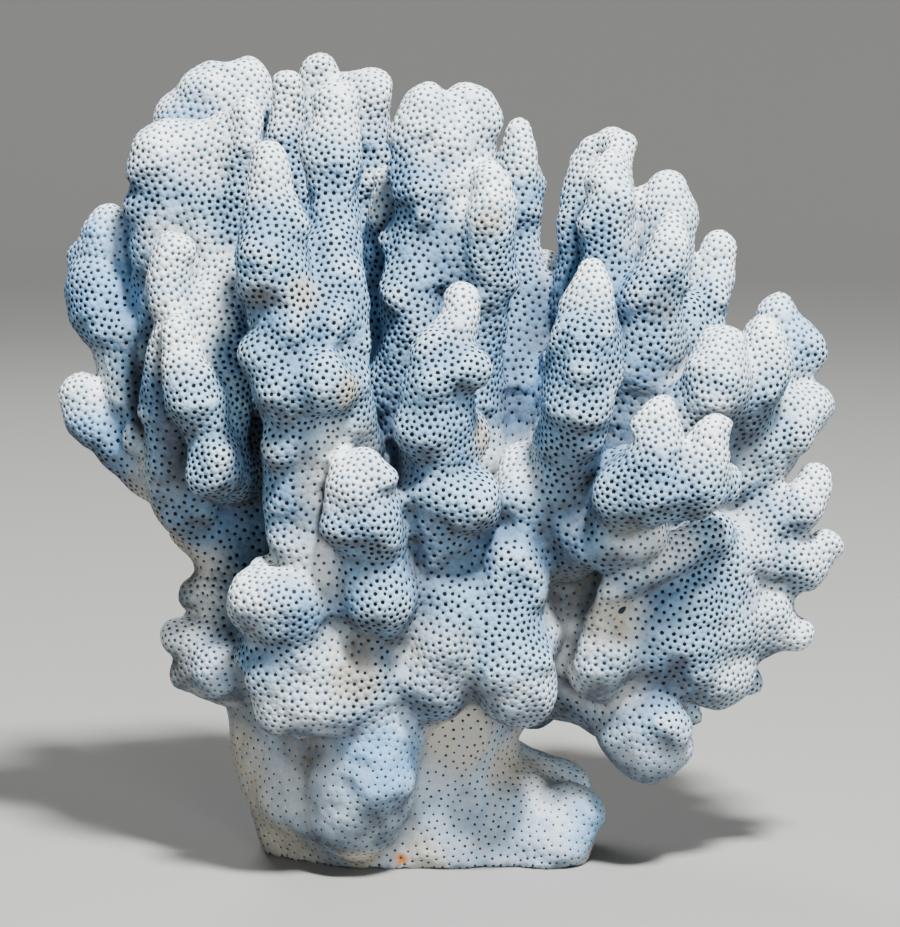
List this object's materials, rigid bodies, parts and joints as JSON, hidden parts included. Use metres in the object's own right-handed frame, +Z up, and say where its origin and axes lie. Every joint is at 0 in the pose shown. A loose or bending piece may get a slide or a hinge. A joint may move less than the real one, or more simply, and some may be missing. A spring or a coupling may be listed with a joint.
{
  "type": "coral",
  "caption": "Dry blue coral colony: knobbly fingers, lobes and blades forking from one short foot, cut off flat below so that it stands",
  "frame": {"origin": "a point on the flat cut under the foot, near the middle of the cut, with the cut at Z = 0", "axes": "+Z up out of the cut, -Y towards the front of the colony, +X to the right as seen from the front"},
  "size_m": [0.1909, 0.1259, 0.1989],
  "materials": {
    "coral_foot": "matte",
    "coral_pale": "matte",
    "coral_side": "matte"
  },
  "bodies": {
    "root": {"foot": "coral_foot", "middle_branch": "coral_pale", "front_left_branch": "coral_pale", "front_middle_branch": "coral_pale", "front_right_branch": "coral_pale", "left_branch": "coral_side", "left_blades": "coral_pale", "rear_middle_branch": "coral_side", "upper_right_branch": "coral_pale", "right_branch": "coral_pale", "lower_right_branch": "coral_pale", "lower_left_lobes": "coral_pale", "lower_front_lobes": "coral_pale", "rear_left_branch": "coral_side", "rear_centre_branch": "coral_side", "rear_right_branch": "coral_side"}
  },
  "joints": []
}
